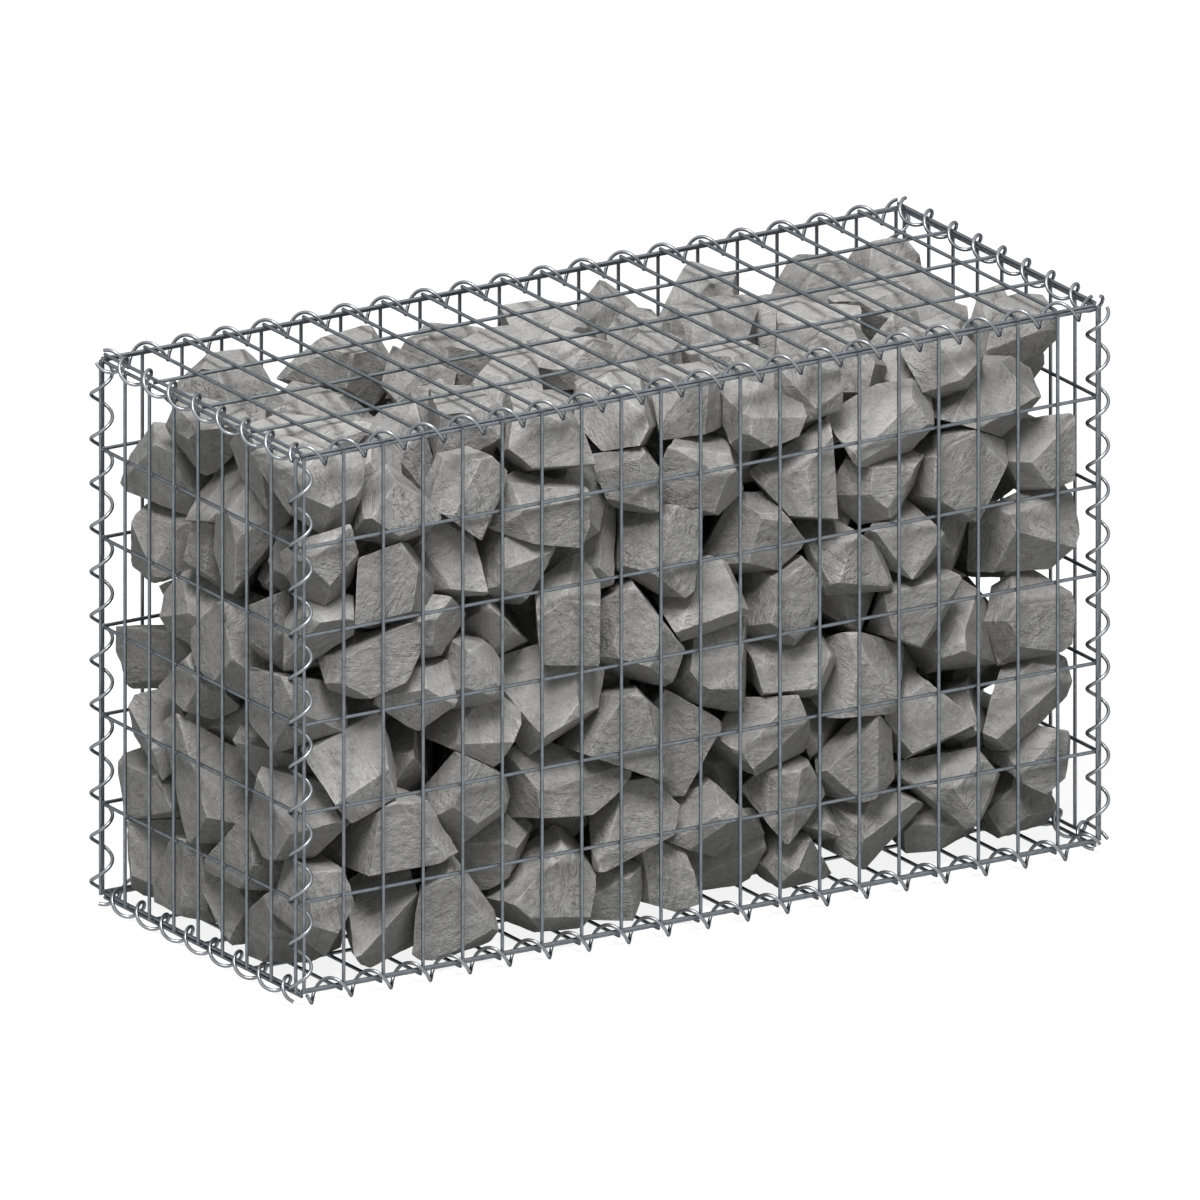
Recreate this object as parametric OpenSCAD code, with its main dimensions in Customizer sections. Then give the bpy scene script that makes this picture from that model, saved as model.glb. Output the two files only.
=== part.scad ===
// Gabion wall unit: a box of welded wire mesh, laced along its twelve edges
// with wire spirals and filled with broken stone.
// Millimetres, +Z up. The origin is on the ground, under the middle of the box.

/* [Basket] */
// Length between the corner lines of the end meshes
basket_length = 1000; // [300:50:2000]
// Depth between the corner lines of the front and back meshes
basket_depth = 400; // [200:50:1000]
// Height between the corner lines of the base and lid meshes
basket_height = 600; // [200:50:1000]

/* [Welded mesh] */
// Spacing of the upright wires, and of the cross wires of base and lid
upright_spacing = 50; // [40:1:100]
// Spacing of the level wires, and of the long wires of base and lid
level_spacing = 100; // [80:1:200]
// Diameter of the mesh wire
mesh_wire_d = 4; // [3:0.1:5]
// Depth by which two crossing wires are sunk into each other at a weld
weld_depth = 0.5; // [0.4:0.1:1]
// Clearance of the inner wires outside the corner lines
corner_wire_gap = 1; // [0.9:0.1:2]
// Length of the inner wires past their last crossing wire
inner_wire_end = 0.7; // [0.5:0.1:0.8]
// Length of the outer wires past their last crossing wire
outer_wire_end = 2; // [1:0.1:2.5]

/* [Edge spirals] */
// Diameter of the spiral wire
spiral_wire_d = 4; // [2.5:0.1:4.8]
// Room inside a spiral beside the four mesh wires that it goes round
spiral_room = 3; // [3:0.1:6]
// Turns of an upright spiral for each level mesh
turns_per_level_mesh = 2; // [1:1:2]
// Straight steps that stand for one turn
spiral_steps = 10; // [8:1:16]
// Sides of the spiral wire
spiral_sides = 5; // [4:1:8]

/* [Stone fill] */
// Number of courses of stone
course_count = 6; // [6]
// Clearance between a resting surface and what rests on it
seat_gap = 0.3; // [0.1:0.1:0.5]
// Distance of the stones inside the front, back and left corner lines
stone_side_gap = 1; // [0:0.5:20]
// Distance of the stones inside the right corner line
stone_right_gap = 4; // [1:1:60]
// Distance of the stones under the lid's corner line
stone_top_gap = 20; // [1:1:60]
// Clearance of the stones from the spirals at the edges
stone_spiral_gap = 1; // [0.5:0.1:5]

/* [Hidden] */

wire_colour = [0.49, 0.52, 0.54];
spiral_colour = [0.66, 0.69, 0.71];
stone_colour = [0.52, 0.51, 0.49];
wire_sides = 8;
wire_sides_turn = 180 / wire_sides;

// Whole meshes along each side, and their true spacing
long_meshes = round(basket_length / upright_spacing);
deep_meshes = round(basket_depth / upright_spacing);
high_meshes = round(basket_height / level_spacing);
long_wires = round(basket_depth / level_spacing);
upright_step_x = basket_length / long_meshes;
upright_step_y = basket_depth / deep_meshes;
level_step = basket_height / high_meshes;
long_wire_step = basket_depth / long_wires;

// Distance of the wires' axes outside the corner lines
inner_wire_out = mesh_wire_d / 2 + corner_wire_gap;
outer_wire_out = inner_wire_out + mesh_wire_d - weld_depth;

spiral_inner_d = 4 * mesh_wire_d + spiral_room;
spiral_outer_d = spiral_inner_d + 2 * spiral_wire_d;
spiral_r = (spiral_inner_d + spiral_wire_d) / 2;

// Middle of each spiral, measured from its corner line, and the angle at which it starts.
// Upright spirals: [x, y, start]. Spirals along X: [y, z, start]. Spirals along Y: [z, x, start].
// The distances are for mesh wire of seat_wire_d, and grow with the wire.
seat_wire_d = 4;
seat_scale = mesh_wire_d / seat_wire_d;
front_left_seat = [-2.5, -3.5, 129];
front_right_seat = [1.5, -5, 356.5];
back_left_seat = [-4.5, 1, 58.5];
back_right_seat = [1.5, 5, 60];
front_top_seat = [-2, 2.5, 57];
back_top_seat = [-0.5, 0, 65.5];
left_top_seat = [1.5, -0.5, 262];
right_top_seat = [1, 4.5, 17];
front_bottom_seat = [-0.5, -4, 172];
back_bottom_seat = [3, -4, 140];
left_bottom_seat = [-1, -4.5, 204];
right_bottom_seat = [0.5, -0.5, 179];

// The box stands on its lowest spirals
corner_line_z = spiral_outer_d / 2 - seat_scale * front_bottom_seat[1];

stone_bottom = seat_gap - corner_wire_gap;
course_height = (basket_height - stone_top_gap - stone_bottom) / course_count;
// A spiral lies within this distance of its corner line, added up along both sides
edge_room_r = sqrt(2) * (spiral_outer_d / 2 + stone_spiral_gap);

// Moves a child from the box's front left bottom corner to the part's frame
module from_corner() {
    translate([-basket_length / 2, -basket_depth / 2, corner_line_z]) children();
}

module along_x(y, z) {
    translate([0, y, z]) rotate([90, 0, 90]) children();
}

module along_y(x, z) {
    translate([x, 0, z]) rotate([-90, -90, 0]) children();
}

module along_z(x, y) {
    translate([x, y, 0]) children();
}

// Mesh wire along +Z, with its flats square to the axes
module wire(length, end) {
    translate([0, 0, -end])
        rotate(wire_sides_turn)
            cylinder(h = length + 2 * end, d = mesh_wire_d, $fn = wire_sides);
}

// Mesh facing front or back; outward is -1 at the front and 1 at the back
module long_mesh(corner_y, outward) {
    for (i = [0:long_meshes])
        along_z(i * upright_step_x, corner_y + outward * outer_wire_out)
            wire(basket_height, outer_wire_end);
    for (k = [0:high_meshes])
        along_x(corner_y + outward * inner_wire_out, k * level_step)
            wire(basket_length, inner_wire_end);
}

// Mesh of an end; outward is -1 at the left and 1 at the right
module end_mesh(corner_x, outward) {
    for (j = [0:deep_meshes])
        along_z(corner_x + outward * outer_wire_out, j * upright_step_y)
            wire(basket_height, outer_wire_end);
    for (k = [0:high_meshes])
        along_y(corner_x + outward * inner_wire_out, k * level_step)
            wire(basket_depth, inner_wire_end);
}

// Mesh of the base or lid; outward is -1 at the base and 1 at the lid
module level_mesh(corner_z, outward) {
    for (i = [0:long_meshes])
        along_y(i * upright_step_x, corner_z + outward * outer_wire_out)
            wire(basket_depth, outer_wire_end);
    for (j = [0:long_wires])
        along_x(j * long_wire_step, corner_z + outward * inner_wire_out)
            wire(basket_length, inner_wire_end);
}

module front_panel() {
    color(wire_colour) from_corner() long_mesh(0, -1);
}

module back_panel() {
    color(wire_colour) from_corner() long_mesh(basket_depth, 1);
}

module left_panel() {
    color(wire_colour) from_corner() end_mesh(0, -1);
}

module right_panel() {
    color(wire_colour) from_corner() end_mesh(basket_length, 1);
}

module base_panel() {
    color(wire_colour) from_corner() level_mesh(0, -1);
}

module lid_panel() {
    color(wire_colour) from_corner() level_mesh(basket_height, 1);
}

// Unit vectors of the wire's cross-section at an angle of a spiral along +Z
function outward_at(a) = [cos(a), sin(a), 0];
function across_at(a, lead) = [-sin(a) * sin(lead), cos(a) * sin(lead), -cos(lead)];

// Corner j of the ring of points round the spiral wire at angle a
function ring_point(centre, a, lead, side_angle) =
    centre + spiral_wire_d / 2 * (cos(side_angle) * outward_at(a) + sin(side_angle) * across_at(a, lead));

// Right-handed spiral along +Z, one swept tube of straight steps
module spiral(length, pitch, start) {
    steps = round(length / pitch) * spiral_steps;
    lead = atan(pitch / (2 * PI * spiral_r));
    points = [
        for (i = [0:steps])
            let (
                a = start + 360 * i / spiral_steps,
                centre = spiral_r * outward_at(a) + [0, 0, length * i / steps]
            )
            for (j = [0:spiral_sides - 1])
                ring_point(centre, a, lead, 360 * j / spiral_sides)
    ];
    walls = [
        for (i = [0:steps - 1])
            for (j = [0:spiral_sides - 1])
                let (
                    here = i * spiral_sides + j,
                    beside = i * spiral_sides + (j + 1) % spiral_sides,
                    above_here = here + spiral_sides,
                    above_beside = beside + spiral_sides
                )
                for (triangle = [[here, beside, above_beside], [here, above_beside, above_here]])
                    triangle
    ];
    first_end = [for (j = [0:spiral_sides - 1]) spiral_sides - 1 - j];
    last_end = [for (j = [0:spiral_sides - 1]) steps * spiral_sides + j];
    polyhedron(points = points, faces = concat(walls, [first_end, last_end]), convexity = 10);
}

module upright_spiral(corner_x, corner_y, seat) {
    color(spiral_colour)
        from_corner()
            along_z(corner_x + seat_scale * seat[0], corner_y + seat_scale * seat[1])
                spiral(basket_height, level_step / turns_per_level_mesh, seat[2]);
}

module long_spiral(corner_y, corner_z, seat) {
    color(spiral_colour)
        from_corner()
            along_x(corner_y + seat_scale * seat[0], corner_z + seat_scale * seat[1])
                spiral(basket_length, upright_step_x, seat[2]);
}

module end_spiral(corner_x, corner_z, seat) {
    color(spiral_colour)
        from_corner()
            along_y(corner_x + seat_scale * seat[1], corner_z + seat_scale * seat[0])
                spiral(basket_depth, upright_step_y, seat[2]);
}

module spiral_front_left() {
    upright_spiral(0, 0, front_left_seat);
}

module spiral_front_right() {
    upright_spiral(basket_length, 0, front_right_seat);
}

module spiral_back_left() {
    upright_spiral(0, basket_depth, back_left_seat);
}

module spiral_back_right() {
    upright_spiral(basket_length, basket_depth, back_right_seat);
}

module spiral_front_top() {
    long_spiral(0, basket_height, front_top_seat);
}

module spiral_back_top() {
    long_spiral(basket_depth, basket_height, back_top_seat);
}

module spiral_left_top() {
    end_spiral(0, basket_height, left_top_seat);
}

module spiral_right_top() {
    end_spiral(basket_length, basket_height, right_top_seat);
}

module spiral_front_bottom() {
    long_spiral(0, 0, front_bottom_seat);
}

module spiral_back_bottom() {
    long_spiral(basket_depth, 0, back_bottom_seat);
}

module spiral_left_bottom() {
    end_spiral(0, 0, left_bottom_seat);
}

module spiral_right_bottom() {
    end_spiral(basket_length, 0, right_bottom_seat);
}

// Room for one spiral, from corner line to corner line, with 45 degree sides
module edge_room(length) {
    cylinder(h = length, r = edge_room_r, $fn = 4);
}

module all_edge_rooms() {
    for (y = [0, basket_depth], z = [0, basket_height])
        along_x(y, z) edge_room(basket_length);
    for (x = [0, basket_length], z = [0, basket_height])
        along_y(x, z) edge_room(basket_depth);
    for (x = [0, basket_length], y = [0, basket_depth])
        along_z(x, y) edge_room(basket_height);
}

// One course of the loose stones, as a plain block; course 1 is the lowest
module stone_course(number) {
    color(stone_colour)
        from_corner()
            difference() {
                translate([stone_side_gap, stone_side_gap, stone_bottom + (number - 1) * course_height])
                    cube([
                        basket_length - stone_side_gap - stone_right_gap,
                        basket_depth - 2 * stone_side_gap,
                        course_height
                    ]);
                all_edge_rooms();
            }
}

front_panel();
back_panel();
left_panel();
right_panel();
base_panel();
lid_panel();
spiral_front_left();
spiral_front_right();
spiral_back_left();
spiral_back_right();
spiral_front_top();
spiral_back_top();
spiral_left_top();
spiral_right_top();
spiral_front_bottom();
spiral_back_bottom();
spiral_left_bottom();
spiral_right_bottom();
stone_course(1);  // stone_course_1
stone_course(2);  // stone_course_2
stone_course(3);  // stone_course_3
stone_course(4);  // stone_course_4
stone_course(5);  // stone_course_5
stone_course(6);  // stone_course_6
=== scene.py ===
import math
import random

import bmesh
import bpy
import numpy as np
from mathutils import Euler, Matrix, Quaternion, Vector, noise


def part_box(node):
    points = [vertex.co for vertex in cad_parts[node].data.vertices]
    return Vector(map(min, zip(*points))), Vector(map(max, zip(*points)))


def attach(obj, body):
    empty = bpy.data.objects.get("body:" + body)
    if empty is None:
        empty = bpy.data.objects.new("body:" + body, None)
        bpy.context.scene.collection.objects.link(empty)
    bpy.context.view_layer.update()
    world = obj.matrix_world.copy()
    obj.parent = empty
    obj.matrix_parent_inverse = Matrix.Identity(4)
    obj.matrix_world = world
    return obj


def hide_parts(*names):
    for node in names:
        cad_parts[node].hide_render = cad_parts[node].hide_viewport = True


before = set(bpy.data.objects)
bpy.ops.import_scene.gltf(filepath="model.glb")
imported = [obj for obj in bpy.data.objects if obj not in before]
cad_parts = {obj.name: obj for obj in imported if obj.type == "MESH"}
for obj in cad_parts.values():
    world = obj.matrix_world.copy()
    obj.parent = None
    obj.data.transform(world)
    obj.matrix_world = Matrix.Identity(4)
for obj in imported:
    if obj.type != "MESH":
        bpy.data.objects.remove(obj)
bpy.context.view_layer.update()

scene = bpy.context.scene
scene.view_settings.view_transform = "Standard"


# ---------------------------------------------------------------------------
# Camera. A long view without perspective, from the front left and a little
# above, aimed at the middle of the basket.
# ---------------------------------------------------------------------------
VIEW_AZIMUTH = math.radians(-31.57)
VIEW_ELEVATION = math.radians(18.05)
VIEW_WIDTH = 1.2887
VIEW_DISTANCE = 6.0
VIEW_REACH = 40.0

panel_low, panel_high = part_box("front_panel")
aim = Vector((0.0, 0.0, (panel_low[2] + panel_high[2]) / 2))
towards_camera = Vector((
    math.sin(VIEW_AZIMUTH) * math.cos(VIEW_ELEVATION),
    -math.cos(VIEW_AZIMUTH) * math.cos(VIEW_ELEVATION),
    math.sin(VIEW_ELEVATION),
))
camera = bpy.data.objects.new("camera", bpy.data.cameras.new("camera"))
camera.data.type = "ORTHO"
camera.data.ortho_scale = VIEW_WIDTH
camera.data.clip_end = VIEW_REACH
camera.location = aim + VIEW_DISTANCE * towards_camera
camera.rotation_euler = towards_camera.to_track_quat("Z", "Y").to_euler()
scene.collection.objects.link(camera)
scene.camera = camera


# ---------------------------------------------------------------------------
# Zinc. Every wire is hot-dip galvanised: a thin grey coat with faint, uneven
# patches. One group holds the patches, and mesh and spirals use it with their
# own colours.
# ---------------------------------------------------------------------------
PATCH_DETAIL = 3.0
PATCH_CONTRAST = (0.36, 0.64)
ZINC_RUN_SCALE = 900.0
ZINC_RUN_DETAIL = 2.0
ZINC_METALLIC = 0.9
ZINC_BUMP = 0.5


def add_inputs(tree, sockets):
    """Gives a node tree its named inputs; each user of the tree sets all of them."""
    for name, kind in sockets:
        tree.interface.new_socket(name, in_out="INPUT", socket_type=kind)


def zinc_coat_group():
    """Shader group: patches of lighter and darker zinc, with their roughness and height."""
    group = bpy.data.node_groups.new("zinc_coat", "ShaderNodeTree")
    add_inputs(group, (
        ("Light zinc", "NodeSocketColor"), ("Dark zinc", "NodeSocketColor"),
        ("Patch scale", "NodeSocketFloat"), ("Roughness", "NodeSocketFloat"),
        ("Roughness spread", "NodeSocketFloat"),
    ))
    for name, kind in (
        ("Color", "NodeSocketColor"), ("Roughness", "NodeSocketFloat"), ("Height", "NodeSocketFloat"),
    ):
        group.interface.new_socket(name, in_out="OUTPUT", socket_type=kind)
    nodes, links = group.nodes, group.links
    inputs = nodes.new("NodeGroupInput")
    outputs = nodes.new("NodeGroupOutput")
    place = nodes.new("ShaderNodeTexCoord")

    patches = nodes.new("ShaderNodeTexNoise")
    patches.inputs["Detail"].default_value = PATCH_DETAIL
    links.new(place.outputs["Object"], patches.inputs["Vector"])
    links.new(inputs.outputs["Patch scale"], patches.inputs["Scale"])
    spread = nodes.new("ShaderNodeMapRange")
    spread.inputs["From Min"].default_value = PATCH_CONTRAST[0]
    spread.inputs["From Max"].default_value = PATCH_CONTRAST[1]
    links.new(patches.outputs["Fac"], spread.inputs["Value"])

    colour = nodes.new("ShaderNodeMix")
    colour.data_type = "RGBA"
    links.new(spread.outputs["Result"], colour.inputs["Factor"])
    links.new(inputs.outputs["Light zinc"], colour.inputs["A"])
    links.new(inputs.outputs["Dark zinc"], colour.inputs["B"])
    links.new(colour.outputs["Result"], outputs.inputs["Color"])

    rough = nodes.new("ShaderNodeMath")
    rough.operation = "MULTIPLY_ADD"
    links.new(spread.outputs["Result"], rough.inputs[0])
    links.new(inputs.outputs["Roughness spread"], rough.inputs[1])
    links.new(inputs.outputs["Roughness"], rough.inputs[2])
    links.new(rough.outputs["Value"], outputs.inputs["Roughness"])

    runs = nodes.new("ShaderNodeTexNoise")
    runs.inputs["Scale"].default_value = ZINC_RUN_SCALE
    runs.inputs["Detail"].default_value = ZINC_RUN_DETAIL
    links.new(place.outputs["Object"], runs.inputs["Vector"])
    links.new(runs.outputs["Fac"], outputs.inputs["Height"])
    return group


ZINC_COAT = zinc_coat_group()


def galvanised_wire(name, light, dark, rim, roughness, spread, patch_scale, bump_mm):
    """Material of one kind of galvanised wire; rim is its tint at grazing angles."""
    material = bpy.data.materials.new(name)
    material.use_nodes = True
    nodes, links = material.node_tree.nodes, material.node_tree.links
    shader = nodes["Principled BSDF"]
    shader.inputs["Metallic"].default_value = ZINC_METALLIC
    shader.inputs["Specular Tint"].default_value = (*rim, 1.0)
    coat = nodes.new("ShaderNodeGroup")
    coat.node_tree = ZINC_COAT
    coat.inputs["Light zinc"].default_value = (*light, 1.0)
    coat.inputs["Dark zinc"].default_value = (*dark, 1.0)
    coat.inputs["Patch scale"].default_value = patch_scale
    coat.inputs["Roughness"].default_value = roughness
    coat.inputs["Roughness spread"].default_value = spread
    bump = nodes.new("ShaderNodeBump")
    bump.inputs["Strength"].default_value = ZINC_BUMP
    bump.inputs["Distance"].default_value = bump_mm / 1000
    links.new(coat.outputs["Height"], bump.inputs["Height"])
    links.new(coat.outputs["Color"], shader.inputs["Base Color"])
    links.new(coat.outputs["Roughness"], shader.inputs["Roughness"])
    links.new(bump.outputs["Normal"], shader.inputs["Normal"])
    return material


# ---------------------------------------------------------------------------
# Welded mesh panels. Six flat panels of 4 mm galvanised wire, 50 by 100 mm
# mesh, spot-welded at every crossing. The uprights lie outside and the level
# wires inside.
# ---------------------------------------------------------------------------
WIRE_RADIUS = 0.002
WIRE_SIDES = 16
UPRIGHT_SPACING = 0.050
LEVEL_SPACING = 0.100
WELD_DEPTH = 0.0005
INNER_WIRE_OUT = 0.003
OUTER_WIRE_OUT = INNER_WIRE_OUT + 2 * WIRE_RADIUS - WELD_DEPTH
INNER_WIRE_END = 0.0007
OUTER_WIRE_END = 0.002
WELD_RADIUS = 0.0023
WELD_THICKNESS = 0.0036
WELD_SUBDIVISIONS = 2
RIM_ANGLE = math.radians(50)

lid_low, lid_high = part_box("lid_panel")
BASKET_LENGTH = round(panel_high[0] - panel_low[0] - 2 * WIRE_RADIUS, 3)
BASKET_DEPTH = round(lid_high[1] - lid_low[1] - 2 * OUTER_WIRE_END, 3)
BASKET_HEIGHT = round(panel_high[2] - panel_low[2] - 2 * OUTER_WIRE_END, 3)
CORNER = Vector((-BASKET_LENGTH / 2, -BASKET_DEPTH / 2, panel_low[2] + OUTER_WIRE_END))


def math_node(tree, operation, first, second):
    """A Math node whose two inputs are sockets or numbers."""
    node = tree.nodes.new("ShaderNodeMath")
    node.operation = operation
    for socket, value in zip(node.inputs, (first, second)):
        if isinstance(value, bpy.types.NodeSocket):
            tree.links.new(value, socket)
        else:
            socket.default_value = value
    return node.outputs["Value"]


def combine(tree, x=0.0, y=0.0, z=0.0):
    """A Combine XYZ node whose inputs are sockets or numbers."""
    node = tree.nodes.new("ShaderNodeCombineXYZ")
    for socket, value in zip(node.inputs, (x, y, z)):
        if isinstance(value, bpy.types.NodeSocket):
            tree.links.new(value, socket)
        else:
            socket.default_value = value
    return node.outputs["Vector"]


def round_bar(tree, curve, radius, sides):
    """Sweeps a circle along a curve, with closed ends and sharp rims."""
    circle = tree.nodes.new("GeometryNodeCurvePrimitiveCircle")
    circle.inputs["Resolution"].default_value = sides
    tree.links.new(radius, circle.inputs["Radius"])
    sweep = tree.nodes.new("GeometryNodeCurveToMesh")
    sweep.inputs["Fill Caps"].default_value = True
    tree.links.new(curve, sweep.inputs["Curve"])
    tree.links.new(circle.outputs["Curve"], sweep.inputs["Profile Curve"])
    return sweep.outputs["Mesh"]


def finish_tree(tree, geometry, inputs):
    """Realizes, smooths, places and colours the geometry and ends the tree."""
    nodes, links = tree.nodes, tree.links
    realize = nodes.new("GeometryNodeRealizeInstances")
    links.new(geometry, realize.inputs["Geometry"])
    smooth = nodes.new("GeometryNodeSetShadeSmooth")
    links.new(realize.outputs["Geometry"], smooth.inputs["Geometry"])
    angle = nodes.new("GeometryNodeInputMeshEdgeAngle")
    rim = nodes.new("FunctionNodeCompare")
    rim.operation = "GREATER_THAN"
    rim.inputs["B"].default_value = RIM_ANGLE
    links.new(angle.outputs["Unsigned Angle"], rim.inputs["A"])
    sharp = nodes.new("GeometryNodeSetShadeSmooth")
    sharp.domain = "EDGE"
    sharp.inputs["Shade Smooth"].default_value = False
    links.new(smooth.outputs["Geometry"], sharp.inputs["Geometry"])
    links.new(rim.outputs["Result"], sharp.inputs["Selection"])
    turn = nodes.new("GeometryNodeTransform")
    links.new(sharp.outputs["Geometry"], turn.inputs["Geometry"])
    links.new(inputs.outputs["Turn"], turn.inputs["Rotation"])
    links.new(inputs.outputs["Place"], turn.inputs["Translation"])
    paint = nodes.new("GeometryNodeSetMaterial")
    links.new(turn.outputs["Geometry"], paint.inputs["Geometry"])
    links.new(inputs.outputs["Material"], paint.inputs["Material"])
    output = nodes.new("NodeGroupOutput")
    tree.interface.new_socket("Geometry", in_out="OUTPUT", socket_type="NodeSocketGeometry")
    links.new(paint.outputs["Geometry"], output.inputs["Geometry"])


def welded_mesh_tree():
    """Geometry nodes: one flat panel in X and Y, facing +Z, welded at every crossing."""
    tree = bpy.data.node_groups.new("welded_mesh", "GeometryNodeTree")
    add_inputs(tree, (
        ("Width", "NodeSocketFloat"), ("Height", "NodeSocketFloat"),
        ("Outer wires", "NodeSocketInt"), ("Inner wires", "NodeSocketInt"),
        ("Wire radius", "NodeSocketFloat"), ("Outer out", "NodeSocketFloat"),
        ("Inner out", "NodeSocketFloat"), ("Outer end", "NodeSocketFloat"),
        ("Inner end", "NodeSocketFloat"), ("Weld size", "NodeSocketVector"),
        ("Turn", "NodeSocketRotation"), ("Place", "NodeSocketVector"),
        ("Material", "NodeSocketMaterial"),
    ))
    nodes, links = tree.nodes, tree.links
    inputs = nodes.new("NodeGroupInput")
    value = inputs.outputs

    def wires(length, end, out, across, count, outer):
        """A row of parallel wires, along Y for the outer ones and along X for the inner ones."""
        whole = math_node(tree, "ADD", length, math_node(tree, "MULTIPLY", end, 2.0))
        back = math_node(tree, "MULTIPLY", end, -1.0)
        line = nodes.new("GeometryNodeCurvePrimitiveLine")
        links.new(combine(tree, y=whole) if outer else combine(tree, x=whole), line.inputs["End"])
        bar = round_bar(tree, line.outputs["Curve"], value["Wire radius"], WIRE_SIDES)
        step = math_node(tree, "DIVIDE", across, math_node(tree, "SUBTRACT", count, 1.0))
        row = nodes.new("GeometryNodeMeshLine")
        links.new(count, row.inputs["Count"])
        start = combine(tree, y=back, z=out) if outer else combine(tree, x=back, z=out)
        links.new(start, row.inputs["Start Location"])
        links.new(combine(tree, x=step) if outer else combine(tree, y=step), row.inputs["Offset"])
        copies = nodes.new("GeometryNodeInstanceOnPoints")
        links.new(row.outputs["Mesh"], copies.inputs["Points"])
        links.new(bar, copies.inputs["Instance"])
        return copies.outputs["Instances"]

    outer = wires(value["Height"], value["Outer end"], value["Outer out"],
                  value["Width"], value["Outer wires"], True)
    inner = wires(value["Width"], value["Inner end"], value["Inner out"],
                  value["Height"], value["Inner wires"], False)

    grid = nodes.new("GeometryNodeMeshGrid")
    links.new(value["Width"], grid.inputs["Size X"])
    links.new(value["Height"], grid.inputs["Size Y"])
    links.new(value["Outer wires"], grid.inputs["Vertices X"])
    links.new(value["Inner wires"], grid.inputs["Vertices Y"])
    centre = nodes.new("GeometryNodeTransform")
    links.new(grid.outputs["Mesh"], centre.inputs["Geometry"])
    both_out = math_node(tree, "ADD", value["Outer out"], value["Inner out"])
    between = math_node(tree, "MULTIPLY", both_out, 0.5)
    half_width = math_node(tree, "MULTIPLY", value["Width"], 0.5)
    half_height = math_node(tree, "MULTIPLY", value["Height"], 0.5)
    links.new(combine(tree, half_width, half_height, between), centre.inputs["Translation"])
    # The bead is one unit across, and the weld size scales it
    bead = nodes.new("GeometryNodeMeshIcoSphere")
    bead.inputs["Subdivisions"].default_value = WELD_SUBDIVISIONS
    bead.inputs["Radius"].default_value = 0.5
    welds = nodes.new("GeometryNodeInstanceOnPoints")
    links.new(centre.outputs["Geometry"], welds.inputs["Points"])
    links.new(bead.outputs["Mesh"], welds.inputs["Instance"])
    links.new(value["Weld size"], welds.inputs["Scale"])

    join = nodes.new("GeometryNodeJoinGeometry")
    for part in (outer, inner, welds.outputs["Instances"]):
        links.new(part, join.inputs["Geometry"])
    finish_tree(tree, join.outputs["Geometry"], inputs)
    return tree


def run_tree(tree, name, settings):
    """Runs a geometry nodes tree and returns its result as a plain mesh object at the origin."""
    holder = bpy.data.objects.new("holder", bpy.data.meshes.new("holder"))
    scene.collection.objects.link(holder)
    modifier = holder.modifiers.new("tree", "NODES")
    modifier.node_group = tree
    for item in tree.interface.items_tree:
        if item.in_out == "INPUT" and item.name in settings:
            modifier[item.identifier] = settings[item.name]
    bpy.context.view_layer.update()
    shown = holder.evaluated_get(bpy.context.evaluated_depsgraph_get())
    mesh = bpy.data.meshes.new_from_object(shown)
    bpy.data.objects.remove(holder)
    mesh.name = name
    piece = bpy.data.objects.new(name, mesh)
    scene.collection.objects.link(piece)
    return piece


WELDED_MESH = welded_mesh_tree()
MESH_WIRE = galvanised_wire(
    "mesh_wire", light=(0.196, 0.215, 0.235), dark=(0.153, 0.168, 0.184), rim=(0.06, 0.066, 0.073),
    roughness=0.34, spread=0.10, patch_scale=150.0, bump_mm=0.01,
)
QUARTER = math.pi / 2
long_wires = round(BASKET_LENGTH / UPRIGHT_SPACING) + 1
deep_wires = round(BASKET_DEPTH / UPRIGHT_SPACING) + 1
high_wires = round(BASKET_HEIGHT / LEVEL_SPACING) + 1
lid_long_wires = round(BASKET_DEPTH / LEVEL_SPACING) + 1

# Node, width, height, outer and inner wires, turn, and the corner that the panel starts from.
# Each turn sends the panel's own +Z outwards.
for node, width, height, outer_count, inner_count, turn, start in (
    ("front_panel", BASKET_LENGTH, BASKET_HEIGHT, long_wires, high_wires, (QUARTER, 0, 0), (0, 0, 0)),
    ("back_panel", BASKET_LENGTH, BASKET_HEIGHT, long_wires, high_wires, (QUARTER, 0, math.pi), (1, 1, 0)),
    ("left_panel", BASKET_DEPTH, BASKET_HEIGHT, deep_wires, high_wires, (QUARTER, 0, -QUARTER), (0, 1, 0)),
    ("right_panel", BASKET_DEPTH, BASKET_HEIGHT, deep_wires, high_wires, (QUARTER, 0, QUARTER), (1, 0, 0)),
    ("lid_panel", BASKET_LENGTH, BASKET_DEPTH, long_wires, lid_long_wires, (0, 0, 0), (0, 0, 1)),
    ("base_panel", BASKET_LENGTH, BASKET_DEPTH, long_wires, lid_long_wires, (math.pi, 0, 0), (0, 1, 0)),
):
    side = Vector((BASKET_LENGTH * start[0], BASKET_DEPTH * start[1], BASKET_HEIGHT * start[2]))
    panel = run_tree(WELDED_MESH, "welded_" + node, {
        "Width": width, "Height": height,
        "Outer wires": outer_count, "Inner wires": inner_count,
        "Wire radius": WIRE_RADIUS,
        "Outer out": OUTER_WIRE_OUT, "Inner out": INNER_WIRE_OUT,
        "Outer end": OUTER_WIRE_END, "Inner end": INNER_WIRE_END,
        "Weld size": (2 * WELD_RADIUS, 2 * WELD_RADIUS, WELD_THICKNESS),
        "Turn": turn, "Place": tuple(CORNER + side),
        "Material": MESH_WIRE,
    })
    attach(panel, "root")
    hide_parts(node)


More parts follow.
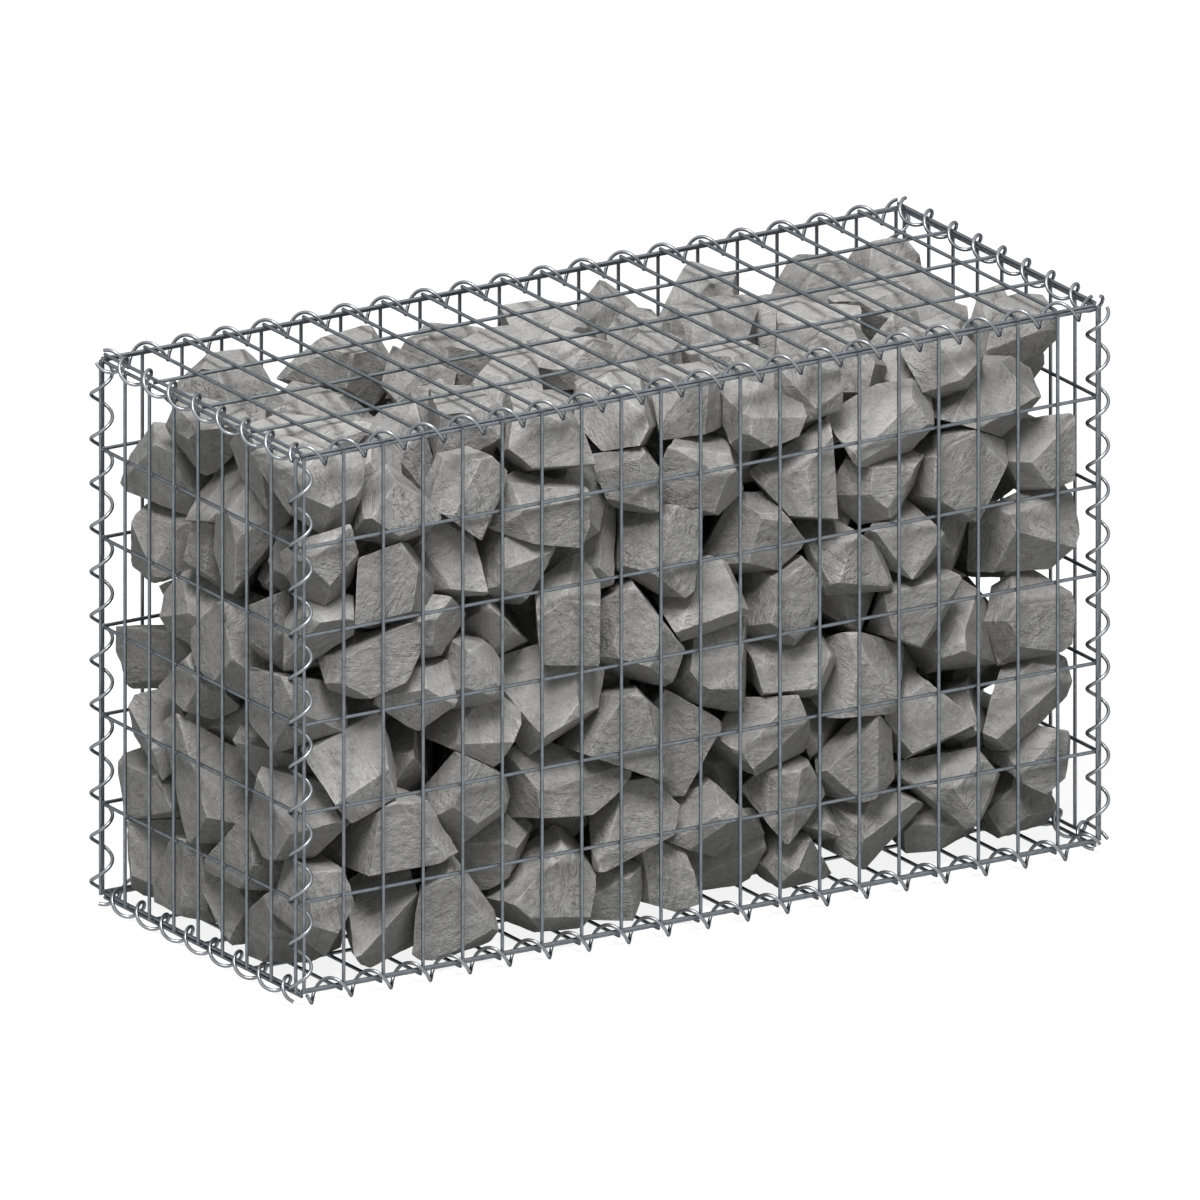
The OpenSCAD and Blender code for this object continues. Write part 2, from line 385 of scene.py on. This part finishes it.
# ---------------------------------------------------------------------------
# Edge spirals. Twelve right-handed spirals of 4 mm galvanised wire, 27 mm
# across with a 50 mm pitch, screwed along the edges to lace the panels
# together and cut off at the corners.
# ---------------------------------------------------------------------------
SPIRAL_WIRE_RADIUS = 0.002
SPIRAL_RADIUS = 0.0115
SPIRAL_PITCH = 0.050
SPIRAL_STEPS = 36
SPIRAL_SIDES = 12


def edge_spiral_tree():
    """Geometry nodes: one right-handed spiral along +Z, starting at an angle from +X."""
    tree = bpy.data.node_groups.new("edge_spiral", "GeometryNodeTree")
    add_inputs(tree, (
        ("Length", "NodeSocketFloat"), ("Turns", "NodeSocketFloat"),
        ("Radius", "NodeSocketFloat"), ("Wire radius", "NodeSocketFloat"),
        ("Start", "NodeSocketFloat"), ("Turn", "NodeSocketRotation"),
        ("Place", "NodeSocketVector"), ("Material", "NodeSocketMaterial"),
    ))
    nodes, links = tree.nodes, tree.links
    inputs = nodes.new("NodeGroupInput")
    coil = nodes.new("GeometryNodeCurveSpiral")
    coil.inputs["Resolution"].default_value = SPIRAL_STEPS
    coil.inputs["Reverse"].default_value = True
    links.new(inputs.outputs["Turns"], coil.inputs["Rotations"])
    links.new(inputs.outputs["Radius"], coil.inputs["Start Radius"])
    links.new(inputs.outputs["Radius"], coil.inputs["End Radius"])
    links.new(inputs.outputs["Length"], coil.inputs["Height"])
    begin = nodes.new("GeometryNodeTransform")
    links.new(coil.outputs["Curve"], begin.inputs["Geometry"])
    links.new(combine(tree, z=inputs.outputs["Start"]), begin.inputs["Rotation"])
    wire = round_bar(tree, begin.outputs["Geometry"], inputs.outputs["Wire radius"], SPIRAL_SIDES)
    finish_tree(tree, wire, inputs)
    return tree


EDGE_SPIRAL = edge_spiral_tree()
SPIRAL_WIRE = galvanised_wire(
    "spiral_wire", light=(0.265, 0.28, 0.295), dark=(0.21, 0.222, 0.235), rim=(0.06, 0.065, 0.07),
    roughness=0.30, spread=0.04, patch_scale=60.0, bump_mm=0.001,
)

ALONG_X = (QUARTER, 0, QUARTER)
ALONG_Y = (-QUARTER, -QUARTER, 0)
ALONG_Z = (0, 0, 0)
spiral_lines = []
# Node, direction, corner line, offset of the spiral's middle from it in mm, start angle in degrees
for node, turn, line, offset_mm, start_angle in (
    ("spiral_front_left", ALONG_Z, (0, 0, 0), (-2.5, -3.5, 0), 129),
    ("spiral_front_right", ALONG_Z, (1, 0, 0), (1.5, -5, 0), 356.5),
    ("spiral_back_left", ALONG_Z, (0, 1, 0), (-4.5, 1, 0), 58.5),
    ("spiral_back_right", ALONG_Z, (1, 1, 0), (1.5, 5, 0), 60),
    ("spiral_front_top", ALONG_X, (0, 0, 1), (0, -2, 2.5), 57),
    ("spiral_back_top", ALONG_X, (0, 1, 1), (0, -0.5, 0), 65.5),
    ("spiral_front_bottom", ALONG_X, (0, 0, 0), (0, -0.5, -4), 172),
    ("spiral_back_bottom", ALONG_X, (0, 1, 0), (0, 3, -4), 140),
    ("spiral_left_top", ALONG_Y, (0, 0, 1), (-0.5, 0, 1.5), 262),
    ("spiral_right_top", ALONG_Y, (1, 0, 1), (4.5, 0, 1), 17),
    ("spiral_left_bottom", ALONG_Y, (0, 0, 0), (-4.5, 0, -1), 204),
    ("spiral_right_bottom", ALONG_Y, (1, 0, 0), (-0.5, 0, 0.5), 179),
):
    length = {ALONG_X: BASKET_LENGTH, ALONG_Y: BASKET_DEPTH, ALONG_Z: BASKET_HEIGHT}[turn]
    side = Vector((BASKET_LENGTH * line[0], BASKET_DEPTH * line[1], BASKET_HEIGHT * line[2]))
    foot = CORNER + side + Vector(offset_mm) / 1000
    spiral_lines.append((foot, turn, length))
    spiral = run_tree(EDGE_SPIRAL, "wire_" + node, {
        "Length": length, "Turns": length / SPIRAL_PITCH,
        "Radius": SPIRAL_RADIUS, "Wire radius": SPIRAL_WIRE_RADIUS,
        "Start": math.radians(start_angle), "Turn": turn,
        "Place": tuple(foot),
        "Material": SPIRAL_WIRE,
    })
    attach(spiral, "root")
    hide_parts(node)


# ---------------------------------------------------------------------------
# Stone fill. Broken quarry stone, 60 to 120 mm across, tipped in loose and
# settled under its own weight. Every stone is a block with up to ten flat
# broken faces, chipped corners and slightly worn edges.
# ---------------------------------------------------------------------------
STONE_VOLUME = 0.375e-3
STONE_SIZES = (0.82, 1.16)
STONES_TIPPED = 462
OVERFILL = 0.35
STONE_SHAPES = 48
STONE_SEED = 7
BLANK_SIZE = 4.0
BLOCK_WIDTH = (0.78, 0.95)
BLOCK_THICKNESS = (0.62, 0.82)
BROKEN_FACES = 10
FACE_TRIES = 400
FACE_ANGLE = math.radians(41)
FACE_REACH = (0.80, 1.0)
CORNER_CHIPS = 4
CHIP_DEPTH = (0.03, 0.11)
CUT_SNAP = 1e-5
SHORTEST_EDGE = 0.02
FLAT_ANGLE = math.radians(2)
WORN_EDGE = 0.007
FACE_GRID = 0.105
GRID_SNAP = 0.012
EDGE_BEND = 1e-4
# Noise scale and height of the swell, the ripple and the chips, and the level where chips begin
SWELL = (2.2, 0.012)
RIPPLE = (6.0, 0.007)
CHIP = (4.0, 0.04)
CHIP_LEVEL = 0.25
# Each shape reads the noise from its own place
SHAPE_SHIFT = (3.7, 1.3)


def random_direction(rng):
    return Vector((rng.gauss(0, 1), rng.gauss(0, 1), rng.gauss(0, 1))).normalized()


def cut_away(bm, direction, reach):
    """Breaks off everything past a plane and closes the broken face."""
    cut = bmesh.ops.bisect_plane(
        bm, geom=bm.verts[:] + bm.edges[:] + bm.faces[:],
        plane_co=direction * reach, plane_no=direction, clear_outer=True, dist=CUT_SNAP,
    )
    rim = [part for part in cut["geom_cut"] if isinstance(part, bmesh.types.BMEdge)]
    if rim:
        bmesh.ops.holes_fill(bm, edges=rim, sides=0)


def broken_block(rng):
    """One broken stone of unit volume round its middle, with sharp edges."""
    bm = bmesh.new()
    bmesh.ops.create_cube(bm, size=BLANK_SIZE)
    half = Vector((1.0, rng.uniform(*BLOCK_WIDTH), rng.uniform(*BLOCK_THICKNESS)))
    faces = []
    for attempt in range(FACE_TRIES):
        direction = random_direction(rng)
        if len(faces) < BROKEN_FACES and all(direction.angle(other) > FACE_ANGLE for other in faces):
            faces.append(direction)
    for direction in faces:
        reach = Vector([half[i] * direction[i] for i in range(3)]).length
        cut_away(bm, direction, reach * rng.uniform(*FACE_REACH))
    for chip in range(CORNER_CHIPS):
        direction = random_direction(rng)
        furthest = max(vertex.co.dot(direction) for vertex in bm.verts)
        cut_away(bm, direction, furthest - rng.uniform(*CHIP_DEPTH))
    bmesh.ops.remove_doubles(bm, verts=bm.verts[:], dist=SHORTEST_EDGE)
    bmesh.ops.dissolve_limit(bm, angle_limit=FLAT_ANGLE, verts=bm.verts[:], edges=bm.edges[:])
    bmesh.ops.recalc_face_normals(bm, faces=bm.faces[:])
    middle = sum((vertex.co for vertex in bm.verts), Vector()) / len(bm.verts)
    bmesh.ops.translate(bm, verts=bm.verts[:], vec=-middle)
    unit = bm.calc_volume() ** (-1 / 3)
    bmesh.ops.scale(bm, verts=bm.verts[:], vec=(unit, unit, unit))
    return bm


def area_normals(points, triangles):
    """Vertex normals weighted by area, and how much the faces round each vertex bend."""
    corners = points[triangles]
    cross = np.cross(corners[:, 1] - corners[:, 0], corners[:, 2] - corners[:, 0])
    area = np.linalg.norm(cross, axis=1)
    normals = np.zeros_like(points)
    around = np.zeros(len(points))
    for corner in range(3):
        np.add.at(normals, triangles[:, corner], cross)
        np.add.at(around, triangles[:, corner], area)
    length = np.linalg.norm(normals, axis=1)
    return normals / length[:, None], 1 - length / around


def weather(bm, seed):
    """Wears the edges, then dents the faces; returns points, triangles, normals and edge marks."""
    bmesh.ops.bevel(
        bm, geom=bm.edges[:], offset=WORN_EDGE, offset_type="OFFSET", segments=1,
        profile=0.5, affect="EDGES", clamp_overlap=True,
    )
    for axis in (Vector((1, 0, 0)), Vector((0, 1, 0)), Vector((0, 0, 1))):
        reach = [vertex.co.dot(axis) for vertex in bm.verts]
        for step in range(1, int((max(reach) - min(reach)) / FACE_GRID)):
            bmesh.ops.bisect_plane(
                bm, geom=bm.verts[:] + bm.edges[:] + bm.faces[:],
                plane_co=axis * (min(reach) + step * FACE_GRID), plane_no=axis, dist=GRID_SNAP,
            )
    bmesh.ops.triangulate(bm, faces=bm.faces[:])
    bm.verts.index_update()
    points = np.array([vertex.co[:] for vertex in bm.verts])
    triangles = np.array([[vertex.index for vertex in face.verts] for face in bm.faces])
    bm.free()
    normals, bend = area_normals(points, triangles)
    on_edge = (bend > EDGE_BEND).astype(float)
    shift = Vector((seed * SHAPE_SHIFT[0], seed * SHAPE_SHIFT[1], 0))
    push = []
    for point in points:
        place = Vector(point)
        swell = noise.noise(place * SWELL[0] + shift)
        ripple = noise.noise(place * RIPPLE[0] + shift)
        chips = max(0.0, noise.noise(place * CHIP[0] - shift) - CHIP_LEVEL)
        push.append(SWELL[1] * swell + RIPPLE[1] * ripple - CHIP[1] * chips)
    points = points + normals * np.array(push)[:, None]
    return points, triangles, area_normals(points, triangles)[0], on_edge


rng = random.Random(STONE_SEED)
rough_shapes = []
worn_shapes = []
for number in range(STONE_SHAPES):
    block = broken_block(rng)
    rough = bpy.data.meshes.new("rough_stone")
    block.to_mesh(rough)
    rough_shapes.append(rough)
    worn_shapes.append(weather(block, number))

# The stones fall into a basket ten times as large, which suits the solver's contact distances.
SIM_SCALE = 10.0
WALL = 4.0
SKY = 60.0
FALL_FRAMES = 120
SHAKE_FRAMES = 100
SHAKE = 0.14
SHAKE_PERIOD = 8.0
SHAKE_FADE = 0.75
SHAKE_SKEW = 1.3
LID_DROP = 1.2
GRAVITY = 9.81 * 4
SUBSTEPS = 6
SOLVER_ITERATIONS = 20
STONE_FRICTION = 0.5
CONTACT_MARGIN = 0.005
SLIDE_DAMPING = 0.05
SPIN_DAMPING = 0.2
SPIRAL_ROOM = 0.0140
LID_ROOM = 0.014
END_ROWS = 8
END_COLUMNS = 5
END_STEP_HEIGHT = 0.9
END_STEP_DEPTH = 1.0
END_STEP_SPREAD = 0.15
LAYER_ROWS = 3
LAYER_COLUMNS = 7
LAYER_HEIGHT = 1.35
FIRST_LAYER = 1.0
TIP_SCATTER = 0.1
fill_low = Vector(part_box("stone_course_1")[0])
fill_high = Vector(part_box("stone_course_6")[1])
FILL_TOP = fill_high[2] + LID_ROOM
LID_UNDERSIDE = CORNER[2] + BASKET_HEIGHT + INNER_WIRE_OUT - WIRE_RADIUS
long, deep, high = (Vector((fill_high[0], fill_high[1], FILL_TOP)) - fill_low) * SIM_SCALE


def sim_box(low, high, turn=(0, 0, 0)):
    """A box for the stones to lie against, sized from corner to corner and turned on the spot."""
    bm = bmesh.new()
    bmesh.ops.create_cube(bm, size=1.0)
    bmesh.ops.scale(bm, verts=bm.verts[:], vec=[high[i] - low[i] for i in range(3)])
    mesh = bpy.data.meshes.new("sim_box")
    bm.to_mesh(mesh)
    bm.free()
    box = bpy.data.objects.new("sim_box", mesh)
    box.location = [(low[i] + high[i]) / 2 for i in range(3)]
    box.rotation_euler = turn
    scene.collection.objects.link(box)
    return box


def basket_walls():
    """The floor and walls of the basket, as the stones meet them."""
    walls = [
        sim_box((-WALL, -WALL, -WALL), (long + WALL, deep + WALL, 0)),
        sim_box((-WALL, -WALL, 0), (0, deep + WALL, SKY)),
        sim_box((long, -WALL, 0), (long + WALL, deep + WALL, SKY)),
        sim_box((-WALL, -WALL, 0), (long + WALL, 0, SKY)),
        sim_box((-WALL, deep, 0), (long + WALL, deep + WALL, SKY)),
    ]
    # Uneven steps keep the right-hand ends of the fill from lining up
    for row in range(END_ROWS):
        step_foot = row * END_STEP_HEIGHT
        for column in range(END_COLUMNS):
            near = column * deep / END_COLUMNS
            far = (column + 1) * deep / END_COLUMNS
            inner = long - rng.uniform(0.0, END_STEP_SPREAD)
            outer = long + END_STEP_DEPTH
            walls.append(sim_box((inner, near, step_foot), (outer, far, step_foot + END_STEP_HEIGHT)))
    # Round bars stand in for the spirals
    for foot, turn, length in spiral_lines:
        bm = bmesh.new()
        bmesh.ops.create_cone(bm, cap_ends=True, segments=16, radius1=1, radius2=1, depth=1)
        bmesh.ops.translate(bm, verts=bm.verts[:], vec=(0, 0, 0.5))
        bmesh.ops.scale(bm, verts=bm.verts[:], vec=(SPIRAL_ROOM, SPIRAL_ROOM, length))
        bm.transform(Euler(turn).to_matrix().to_4x4())
        bmesh.ops.translate(bm, verts=bm.verts[:], vec=foot - fill_low)
        bmesh.ops.scale(bm, verts=bm.verts[:], vec=(SIM_SCALE, SIM_SCALE, SIM_SCALE))
        bar = bpy.data.objects.new("sim_bar", bpy.data.meshes.new("sim_bar"))
        bm.to_mesh(bar.data)
        bm.free()
        scene.collection.objects.link(bar)
        walls.append(bar)
    return walls


def tipped_stones():
    """The stones high above the basket, in loose layers of three by seven."""
    stones = []
    for number in range(STONES_TIPPED):
        layer, place = divmod(number, LAYER_ROWS * LAYER_COLUMNS)
        row, column = divmod(place, LAYER_COLUMNS)
        shape = rng.randrange(STONE_SHAPES)
        stone = bpy.data.objects.new("sim_stone", rough_shapes[shape])
        stone["shape"] = shape
        size = STONE_VOLUME ** (1 / 3) * rng.uniform(*STONE_SIZES) * SIM_SCALE
        stone.scale = (size, size, size)
        stone.location = (
            (column + 0.5) * long / LAYER_COLUMNS + rng.uniform(-TIP_SCATTER, TIP_SCATTER),
            (row + 0.5) * deep / LAYER_ROWS + rng.uniform(-TIP_SCATTER, TIP_SCATTER),
            FIRST_LAYER + layer * LAYER_HEIGHT,
        )
        stone.rotation_mode = "QUATERNION"
        stone.rotation_quaternion = Quaternion(
            (rng.gauss(0, 1), rng.gauss(0, 1), rng.gauss(0, 1), rng.gauss(0, 1))
        ).normalized()
        scene.collection.objects.link(stone)
        stones.append(stone)
    return stones


def let_settle(walls, stones, frames):
    """Runs the rigid bodies for some frames and leaves every stone where it comes to rest."""
    scene.frame_set(1)
    bpy.ops.rigidbody.world_add()
    world = scene.rigidbody_world
    world.collection = bpy.data.collections.new("sim_world")
    world.substeps_per_frame = SUBSTEPS
    world.solver_iterations = SOLVER_ITERATIONS
    world.point_cache.frame_start = 1
    world.point_cache.frame_end = frames
    scene.gravity = (0, 0, -GRAVITY)
    scene.frame_start = 1
    scene.frame_end = frames
    for kind, members in (("PASSIVE", walls), ("ACTIVE", stones)):
        for thing in bpy.context.selected_objects:
            thing.select_set(False)
        for thing in members:
            thing.select_set(True)
        bpy.context.view_layer.objects.active = members[0]
        bpy.ops.rigidbody.objects_add(type=kind)
        for thing in members:
            body = thing.rigid_body
            body.collision_shape = "CONVEX_HULL"
            body.kinematic = kind == "PASSIVE"
            body.friction = STONE_FRICTION
            body.restitution = 0.0
            body.use_margin = True
            body.collision_margin = CONTACT_MARGIN
            body.linear_damping = SLIDE_DAMPING
            body.angular_damping = SPIN_DAMPING
    for frame_number in range(1, frames + 1):
        scene.frame_set(frame_number)
    graph = bpy.context.evaluated_depsgraph_get()
    rest = [stone.evaluated_get(graph).matrix_world.copy() for stone in stones]
    bpy.ops.rigidbody.world_remove()
    for stone, matrix in zip(stones, rest):
        stone.matrix_world = matrix


def settled_stones():
    """Tips, shakes and presses the stones under the lid; returns each one's shape and matrix."""
    walls = basket_walls()
    stones = tipped_stones()
    let_settle(walls, stones, FALL_FRAMES)
    for stone in [stone for stone in stones if stone.matrix_world.translation.z > high + OVERFILL]:
        stones.remove(stone)
        bpy.data.objects.remove(stone)
    lid = sim_box((-WALL, -WALL, high), (long + WALL, deep + WALL, high + WALL))
    rest_height = lid.location.z
    for frame_number, above in ((1, LID_DROP), (SHAKE_FRAMES // 2, 0.0), (SHAKE_FRAMES, 0.0)):
        lid.location.z = rest_height + above
        lid.keyframe_insert("location", frame=frame_number)
    shaker = bpy.data.objects.new("shaker", None)
    scene.collection.objects.link(shaker)
    for frame_number in range(1, SHAKE_FRAMES + 1):
        reach = SHAKE * max(0.0, 1.0 - frame_number / (SHAKE_FADE * SHAKE_FRAMES))
        swing = math.tau * frame_number / SHAKE_PERIOD
        shaker.location = (reach * math.sin(swing), reach * math.cos(SHAKE_SKEW * swing), 0)
        shaker.keyframe_insert("location", frame=frame_number)
    for wall in walls:
        wall.parent = shaker
    let_settle(walls + [lid], stones, SHAKE_FRAMES)
    rest = [(stone["shape"], np.array(stone.matrix_world)) for stone in stones]
    for thing in walls + stones + [lid, shaker]:
        bpy.data.objects.remove(thing)
    scene.frame_set(1)
    return rest


def mesh_of_stones(name, stones):
    """Joins settled stones to one mesh, which keeps each stone's tone and its own grain direction."""
    points, normals, triangles, tones, places, edges = [], [], [], [], [], []
    used = 0
    for (shape_points, shape_triangles, shape_normals, on_edge), matrix, tone, offset in stones:
        points.append(shape_points @ matrix[:3, :3].T + matrix[:3, 3])
        size = np.linalg.norm(matrix[:3, 0])
        normals.append(shape_normals @ matrix[:3, :3].T / size)
        triangles.append(shape_triangles + used)
        tones.append(np.full(len(shape_points), tone))
        places.append(shape_points * size + offset)
        edges.append(on_edge)
        used += len(shape_points)
    points, normals, triangles = map(np.concatenate, (points, normals, triangles))
    mesh = bpy.data.meshes.new(name)
    mesh.vertices.add(len(points))
    mesh.vertices.foreach_set("co", points.astype(np.float32).ravel())
    mesh.loops.add(triangles.size)
    mesh.loops.foreach_set("vertex_index", triangles.astype(np.int32).ravel())
    mesh.polygons.add(len(triangles))
    mesh.polygons.foreach_set("loop_start", np.arange(0, triangles.size, 3, dtype=np.int32))
    mesh.update(calc_edges=True)
    mesh.polygons.foreach_set("use_smooth", np.ones(len(triangles), dtype=bool))
    mesh.normals_split_custom_set_from_vertices(normals.astype(np.float32))
    for layer_name, values in (("stone_tone", tones), ("stone_edge", edges)):
        layer = mesh.attributes.new(layer_name, "FLOAT", "POINT")
        layer.data.foreach_set("value", np.concatenate(values).astype(np.float32))
    place_layer = mesh.attributes.new("stone_place", "FLOAT_VECTOR", "POINT")
    place_layer.data.foreach_set("vector", np.concatenate(places).astype(np.float32).ravel())
    return mesh


def noise_node(tree, vector, scale, detail, roughness=0.5):
    """A noise texture, as a value round 0.5."""
    node = tree.nodes.new("ShaderNodeTexNoise")
    node.inputs["Scale"].default_value = scale
    node.inputs["Detail"].default_value = detail
    node.inputs["Roughness"].default_value = roughness
    tree.links.new(vector, node.inputs["Vector"])
    return node.outputs["Fac"]


def attribute_node(tree, name):
    node = tree.nodes.new("ShaderNodeAttribute")
    node.attribute_name = name
    return node.outputs


def weighted_sum(tree, start, parts):
    """Start plus each value's distance from 0.5 times its weight."""
    total = start
    for value, weight in parts:
        centred = math_node(tree, "SUBTRACT", value, 0.5)
        total = math_node(tree, "ADD", total, math_node(tree, "MULTIPLY", centred, weight))
    return total


STONE_ROUGHNESS = 0.9
STONE_SHINE = 0.25
STONE_DARK = (0.192, 0.1905, 0.1845, 1.0)
STONE_PALE = (0.485, 0.480, 0.466, 1.0)
STONE_CONTRAST = (0.15, 0.85)
STONE_BUMP = 0.8
STONE_RELIEF = 0.0030
BED_STRETCH = (1.0, 1.6, 6.0)
CREASE_FINENESS = 28.0
CREASED_LEVEL = 0.46
CREASED_RISE = 7.0
# How much the creases are darkened as painted shade, and how deep they are cut as bumps
CREASE_SHADE = 0.20
CREASE_DEPTH = 0.35
# Painted highlight on the edges: how sharply it falls off from the edge, and how much paler it makes them
EDGE_HIGHLIGHT_FALLOFF = 8.0
EDGE_HIGHLIGHT_GAIN = 0.36


def broken_stone_material():
    """Grey quarry stone: mottled grain, bedding streaks, creases darkened with painted shade, dents, and
    edges painted paler as a highlight.
    """
    material = bpy.data.materials.new("broken_stone")
    material.use_nodes = True
    tree = material.node_tree
    nodes, links = tree.nodes, tree.links
    shader = nodes["Principled BSDF"]
    shader.inputs["Roughness"].default_value = STONE_ROUGHNESS
    shader.inputs["Specular IOR Level"].default_value = STONE_SHINE
    position = nodes.new("ShaderNodeTexCoord").outputs["Object"]
    own_place = attribute_node(tree, "stone_place")["Vector"]
    tone = attribute_node(tree, "stone_tone")["Fac"]
    edge = attribute_node(tree, "stone_edge")["Fac"]
    beds = nodes.new("ShaderNodeVectorMath")
    beds.operation = "MULTIPLY"
    beds.inputs[1].default_value = BED_STRETCH
    links.new(own_place, beds.inputs[0])

    grain = noise_node(tree, position, scale=430.0, detail=3.0, roughness=0.75)
    mottle = noise_node(tree, position, scale=110.0, detail=4.0, roughness=0.6)
    blotch = noise_node(tree, position, scale=24.0, detail=2.0)
    bedding = noise_node(tree, beds.outputs["Vector"], scale=42.0, detail=4.0, roughness=0.6)
    dents = noise_node(tree, position, scale=85.0, detail=2.0)

    # Thin creases run with the beds, on some faces only; they are cut in as bumps, and their colour is
    # darkened as painted shade
    wave = noise_node(tree, beds.outputs["Vector"], scale=19.0, detail=3.0, roughness=0.62)
    off_line = math_node(tree, "ABSOLUTE", math_node(tree, "SUBTRACT", wave, 0.5), 0.0)
    crease = math_node(tree, "SUBTRACT", 1.0, math_node(tree, "MULTIPLY", off_line, CREASE_FINENESS))
    creased = math_node(tree, "SUBTRACT", blotch, CREASED_LEVEL)
    creased = math_node(tree, "MULTIPLY", creased, CREASED_RISE)
    for part in (crease, creased):
        part.node.use_clamp = True
    crease = math_node(tree, "MULTIPLY", crease, creased)

    # Painted highlight: the edges are made paler, more so where the mottle is high
    wear_and_edge_highlight = math_node(tree, "MULTIPLY", math_node(tree, "POWER", edge, EDGE_HIGHLIGHT_FALLOFF), mottle)
    shade = weighted_sum(tree, 0.5, (
        (grain, 0.78), (mottle, 0.44), (blotch, 0.26), (bedding, 0.14), (tone, 0.24),
    ))
    shade = math_node(tree, "ADD", shade, math_node(tree, "MULTIPLY", wear_and_edge_highlight, EDGE_HIGHLIGHT_GAIN))
    # Painted shade: the colour is darkened along the creases
    shade = math_node(tree, "SUBTRACT", shade, math_node(tree, "MULTIPLY", crease, CREASE_SHADE))
    ramp = nodes.new("ShaderNodeValToRGB")
    for stop, place, colour in zip(ramp.color_ramp.elements, STONE_CONTRAST, (STONE_DARK, STONE_PALE)):
        stop.position = place
        stop.color = colour
    links.new(shade, ramp.inputs["Fac"])
    links.new(ramp.outputs["Color"], shader.inputs["Base Color"])

    relief = weighted_sum(tree, 0.0, ((grain, 0.6), (mottle, 0.9), (dents, 1.2), (bedding, 0.6)))
    relief = math_node(tree, "SUBTRACT", relief, math_node(tree, "MULTIPLY", crease, CREASE_DEPTH))
    bump = nodes.new("ShaderNodeBump")
    bump.inputs["Strength"].default_value = STONE_BUMP
    bump.inputs["Distance"].default_value = STONE_RELIEF
    links.new(relief, bump.inputs["Height"])
    links.new(bump.outputs["Normal"], shader.inputs["Normal"])
    return material


BROKEN_STONE = broken_stone_material()
COURSES = 6
GRAIN_OFFSET = 5.0
course_tops = [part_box("stone_course_%d" % number)[1][2] for number in range(1, COURSES)]
courses = [[] for number in range(COURSES)]
for shape, matrix in settled_stones():
    matrix[:3, :] /= SIM_SCALE
    matrix[:3, 3] += fill_low
    wear_and_edge_highlight = worn_shapes[shape]
    top = (wear_and_edge_highlight[0] @ matrix[2, :3]).max() + matrix[2, 3]
    tone = rng.random()
    offset = np.array([rng.uniform(-GRAIN_OFFSET, GRAIN_OFFSET) for axis in range(3)])
    if top < LID_UNDERSIDE:
        course = sum(matrix[2, 3] > course_top for course_top in course_tops)
        courses[course].append((wear_and_edge_highlight, matrix, tone, offset))
for number, stones in enumerate(courses, start=1):
    name = "stones_%d" % number
    course = bpy.data.objects.new(name, mesh_of_stones(name, stones))
    course.data.materials.append(BROKEN_STONE)
    scene.collection.objects.link(course)
    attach(course, "root")
    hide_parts("stone_course_%d" % number)


# ---------------------------------------------------------------------------
# Studio. A white floor that keeps a faint shadow, an even white surround, a
# large soft light above the front, and a wide panel overhead that shows only
# in reflections.
# ---------------------------------------------------------------------------
def white_to_the_eye(tree):
    """1 where the camera, a reflection or a see-through ray looks, and 0 for light."""
    path = tree.nodes.new("ShaderNodeLightPath")
    seen = math_node(tree, "MAXIMUM", path.outputs["Is Camera Ray"], path.outputs["Is Glossy Ray"])
    return math_node(tree, "MAXIMUM", seen, path.outputs["Is Transmission Ray"])


FLOOR_SIZE = 16.0
FLOOR_ALBEDO = 0.30
FLOOR_GLOW = 0.87
floor_mesh = bpy.data.meshes.new("floor")
half_floor = FLOOR_SIZE / 2
floor_corners = ((-1, -1), (1, -1), (1, 1), (-1, 1))
floor_mesh.from_pydata(
    [(half_floor * x, half_floor * y, 0) for x, y in floor_corners], [], [(0, 1, 2, 3)],
)
floor = bpy.data.objects.new("floor", floor_mesh)
scene.collection.objects.link(floor)
floor_paint = bpy.data.materials.new("floor")
floor_paint.use_nodes = True
floor_tree = floor_paint.node_tree
floor_shader = floor_tree.nodes["Principled BSDF"]
floor_shader.inputs["Base Color"].default_value = (FLOOR_ALBEDO, FLOOR_ALBEDO, FLOOR_ALBEDO, 1.0)
floor_shader.inputs["Roughness"].default_value = 1.0
floor_shader.inputs["Specular IOR Level"].default_value = 0.0
floor_shader.inputs["Emission Color"].default_value = (1.0, 1.0, 1.0, 1.0)
glow = math_node(floor_tree, "MULTIPLY", white_to_the_eye(floor_tree), FLOOR_GLOW)
floor_tree.links.new(glow, floor_shader.inputs["Emission Strength"])
floor_mesh.materials.append(floor_paint)

SKY_LIGHT = 0.35
surround = bpy.data.worlds.new("surround")
scene.world = surround
surround.use_nodes = True
sky_tree = surround.node_tree
sky = sky_tree.nodes["Background"]
sky.inputs["Color"].default_value = (1.0, 1.0, 1.0, 1.0)
brightness = math_node(sky_tree, "MAXIMUM", white_to_the_eye(sky_tree), SKY_LIGHT)
sky_tree.links.new(brightness, sky.inputs["Strength"])


def soft_light(name, direction, distance, size, power):
    """A square area light that looks at the middle of the basket."""
    lamp = bpy.data.lights.new(name, "AREA")
    lamp.shape = "SQUARE"
    lamp.size = size
    lamp.energy = power
    light = bpy.data.objects.new(name, lamp)
    direction = Vector(direction).normalized()
    light.location = aim + distance * direction
    light.rotation_euler = direction.to_track_quat("Z", "Y").to_euler()
    scene.collection.objects.link(light)
    return light


soft_light("key", direction=(-0.31, -0.42, 0.85), distance=4.0, size=1.5, power=196.0)
# The panel shows in reflections only, mostly as a bright line on top of the level wires
overhead = soft_light("overhead", direction=(0.0, 0.0, 1.0), distance=3.0, size=5.0, power=42.0)
overhead.visible_diffuse = False
overhead.visible_camera = False
